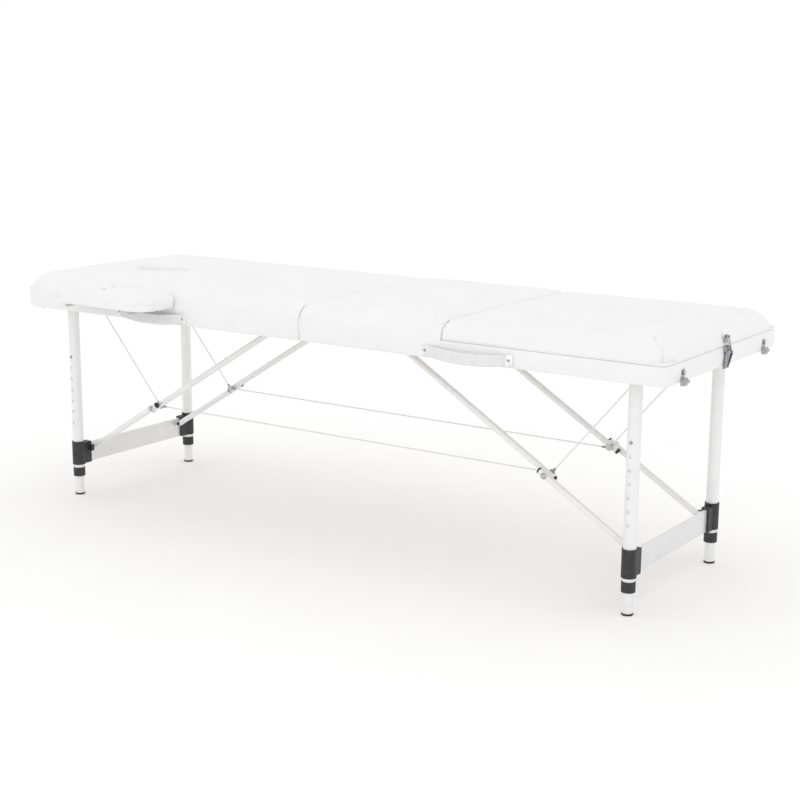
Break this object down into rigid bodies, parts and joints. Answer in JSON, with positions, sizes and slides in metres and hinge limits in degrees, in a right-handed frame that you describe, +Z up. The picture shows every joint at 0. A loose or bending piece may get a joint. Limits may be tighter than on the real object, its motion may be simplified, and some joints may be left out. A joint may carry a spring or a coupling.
{
  "type": "portable massage table",
  "caption": "Folding aluminium massage table with padded white top, face hole, side armrest, lifting section and telescopic legs braced by struts and cables.",
  "frame": {"origin": "on the floor under the middle of the table, on the fold line", "axes": "+X along the table towards the lifting foot section, +Y across it away from the armrest side, +Z up"},
  "size_m": [1.881, 0.7124, 0.606],
  "materials": {
    "vinyl": "white grained upholstery vinyl over foam, satin",
    "handle_webbing": "white padded strap with sewn ribs",
    "plywood": "sanded birch plywood",
    "armrest_board": "zinc plated pegs and plate",
    "leg_tube": "satin anodised tube",
    "inner_tube": "satin anodised tube",
    "strut_tube": "satin anodised tube",
    "crossbar_plate": "brushed flat bar",
    "axle_tube": "zinc plated tube",
    "black_plastic": "moulded nylon, fine texture",
    "foot_rubber": "moulded rubber",
    "button_steel": "polished spring steel",
    "elbow_steel": "zinc plated steel",
    "bracket_steel": "zinc plated steel",
    "chrome": "bright chrome plate",
    "steel_cable": "galvanised stranded wire"
  },
  "bodies": {
    "foot_half": {"foot_frame": "plywood", "foot_side_cover": "vinyl", "middle_board": "plywood", "middle_pad": "vinyl", "main_hinge_foot_leaf": "bracket_steel", "backrest_hinge_fixed_leaf": "bracket_steel", "foot_leg_axle": "axle_tube", "foot_frame_brackets": "bracket_steel", "foot_handle": "handle_webbing", "end_latch_base": "chrome", "closing_keepers": "chrome", "long_cables": "steel_cable", "foot_end_cables": "steel_cable"},
    "head_half": {"head_frame": "plywood", "head_side_cover": "vinyl", "head_board": "plywood", "head_pad": "vinyl", "main_hinge_head_leaf": "bracket_steel", "head_leg_axle": "axle_tube", "head_frame_brackets": "bracket_steel", "head_handle": "handle_webbing", "closing_latch_bases": "chrome", "head_end_cables": "steel_cable"},
    "backrest": {"backrest_board": "plywood", "backrest_pad": "vinyl", "backrest_hinge_leaf": "bracket_steel", "end_latch_keeper": "chrome", "stay_brackets": "bracket_steel"},
    "stays": {"backrest_stays": "bracket_steel"},
    "armrest": {"armrest_frame": "armrest_board", "armrest_pad": "vinyl"},
    "end_latch_lever": {"end_latch_lever": "chrome"},
    "end_latch_loop": {"end_latch_loop": "chrome"},
    "closing_latch_near": {"closing_latch_lever_near": "chrome"},
    "closing_latch_far": {"closing_latch_lever_far": "chrome"},
    "head_leg_frame": {"head_outer_legs": "leg_tube", "head_crossbar": "crossbar_plate", "head_connectors": "black_plastic"},
    "head_upper_struts": {"head_upper_struts": "strut_tube", "head_elbow_bolts": "elbow_steel"},
    "head_lower_struts": {"head_lower_struts": "strut_tube"},
    "head_near_inner_leg": {"head_near_inner_leg": "inner_tube", "head_near_foot_tip": "foot_rubber"},
    "head_near_snap_button": {"head_near_snap_button": "button_steel"},
    "head_far_inner_leg": {"head_far_inner_leg": "inner_tube", "head_far_foot_tip": "foot_rubber"},
    "head_far_snap_button": {"head_far_snap_button": "button_steel"},
    "foot_leg_frame": {"foot_outer_legs": "leg_tube", "foot_crossbar": "crossbar_plate", "foot_connectors": "black_plastic"},
    "foot_upper_struts": {"foot_upper_struts": "strut_tube", "foot_elbow_bolts": "elbow_steel"},
    "foot_lower_struts": {"foot_lower_struts": "strut_tube"},
    "foot_near_inner_leg": {"foot_near_inner_leg": "inner_tube", "foot_near_foot_tip": "foot_rubber"},
    "foot_near_snap_button": {"foot_near_snap_button": "button_steel"},
    "foot_far_inner_leg": {"foot_far_inner_leg": "inner_tube", "foot_far_foot_tip": "foot_rubber"},
    "foot_far_snap_button": {"foot_far_snap_button": "button_steel"}
  },
  "joints": [
    {"name": "main_fold", "type": "hinge", "parent": "foot_half", "child": "head_half", "pos_m": [0, 0, 0.515], "axis": [0, -1, 0], "range_deg": [0, 100], "deforming": ["long_cables"]},
    {"name": "backrest_lift", "type": "hinge", "parent": "foot_half", "child": "backrest", "pos_m": [0.3915, 0, 0.6], "axis": [0, -1, 0], "range_deg": [0, 65]},
    {"name": "backrest_stay_turn", "type": "hinge", "parent": "backrest", "child": "stays", "pos_m": [0.54, 0, 0.554], "axis": [0, 1, 0], "range_deg": [0, 111.73]},
    {"name": "armrest_pull", "type": "slide", "parent": "head_half", "child": "armrest", "axis": [0, -1, 0], "range_m": [0, 0.05]},
    {"name": "head_leg_fold", "type": "hinge", "parent": "head_half", "child": "head_leg_frame", "pos_m": [-0.823, 0, 0.536], "axis": [0, -1, 0], "range_deg": [0, 90], "deforming": ["head_end_cables", "long_cables"]},
    {"name": "head_upper_strut_turn", "type": "hinge", "parent": "head_half", "child": "head_upper_struts", "pos_m": [-0.115, 0, 0.553], "axis": [0, 1, 0], "range_deg": [0, 31.24]},
    {"name": "head_lower_strut_turn", "type": "hinge", "parent": "head_leg_frame", "child": "head_lower_struts", "pos_m": [-0.8105, 0, 0.125], "axis": [0, -1, 0], "range_deg": [0, 59.76]},
    {"name": "head_near_leg_extension", "type": "slide", "parent": "head_leg_frame", "child": "head_near_inner_leg", "axis": [0, 0, -1], "range_m": [0, 0.18], "deforming": ["head_near_snap_button"]},
    {"name": "head_near_button_press", "type": "slide", "parent": "head_near_inner_leg", "child": "head_near_snap_button", "axis": [0, 1, 0], "range_m": [0, 0.0045], "stiffness_N_per_m": 600},
    {"name": "head_far_leg_extension", "type": "slide", "parent": "head_leg_frame", "child": "head_far_inner_leg", "axis": [0, 0, -1], "range_m": [0, 0.18], "deforming": ["head_far_snap_button"]},
    {"name": "head_far_button_press", "type": "slide", "parent": "head_far_inner_leg", "child": "head_far_snap_button", "axis": [0, -1, 0], "range_m": [0, 0.0045], "stiffness_N_per_m": 600},
    {"name": "foot_leg_fold", "type": "hinge", "parent": "foot_half", "child": "foot_leg_frame", "pos_m": [0.823, 0, 0.536], "axis": [0, 1, 0], "range_deg": [0, 90], "deforming": ["foot_end_cables", "long_cables"]},
    {"name": "foot_upper_strut_turn", "type": "hinge", "parent": "foot_half", "child": "foot_upper_struts", "pos_m": [0.115, 0, 0.553], "axis": [0, -1, 0], "range_deg": [0, 31.24]},
    {"name": "foot_lower_strut_turn", "type": "hinge", "parent": "foot_leg_frame", "child": "foot_lower_struts", "pos_m": [0.8105, 0, 0.125], "axis": [0, 1, 0], "range_deg": [0, 59.76]},
    {"name": "foot_near_leg_extension", "type": "slide", "parent": "foot_leg_frame", "child": "foot_near_inner_leg", "axis": [0, 0, -1], "range_m": [0, 0.18], "deforming": ["foot_near_snap_button"]},
    {"name": "foot_near_button_press", "type": "slide", "parent": "foot_near_inner_leg", "child": "foot_near_snap_button", "axis": [0, 1, 0], "range_m": [0, 0.0045], "stiffness_N_per_m": 600},
    {"name": "foot_far_leg_extension", "type": "slide", "parent": "foot_leg_frame", "child": "foot_far_inner_leg", "axis": [0, 0, -1], "range_m": [0, 0.18], "deforming": ["foot_far_snap_button"]},
    {"name": "foot_far_button_press", "type": "slide", "parent": "foot_far_inner_leg", "child": "foot_far_snap_button", "axis": [0, -1, 0], "range_m": [0, 0.0045], "stiffness_N_per_m": 600},
    {"name": "end_latch_release", "type": "hinge", "parent": "foot_half", "child": "end_latch_lever", "pos_m": [0.93, 0, 0.558], "axis": [0, -1, 0], "range_deg": [0, 90]},
    {"name": "end_latch_loop_turn", "type": "hinge", "parent": "end_latch_lever", "child": "end_latch_loop", "pos_m": [0.93766, 0, 0.55157], "axis": [0, 1, 0], "range_deg": [0, 90.5]},
    {"name": "closing_latch_near_turn", "type": "hinge", "parent": "head_half", "child": "closing_latch_near", "pos_m": [-0.93, -0.22, 0.53], "axis": [0, -1, 0], "range_deg": [0, 30]},
    {"name": "closing_latch_far_turn", "type": "hinge", "parent": "head_half", "child": "closing_latch_far", "pos_m": [-0.93, 0.22, 0.53], "axis": [0, -1, 0], "range_deg": [0, 30]}
  ],
  "couplings": [
    {"joint": "backrest_stay_turn", "follows": "backrest_lift", "ratio": 1.7113},
    {"joint": "head_upper_strut_turn", "follows": "head_leg_fold", "ratio": 0.34155},
    {"joint": "head_lower_strut_turn", "follows": "head_leg_fold", "ratio": 0.65845},
    {"joint": "foot_upper_strut_turn", "follows": "foot_leg_fold", "ratio": 0.34155},
    {"joint": "foot_lower_strut_turn", "follows": "foot_leg_fold", "ratio": 0.65845},
    {"joint": "end_latch_loop_turn", "follows": "end_latch_release", "ratio": 1}
  ]
}
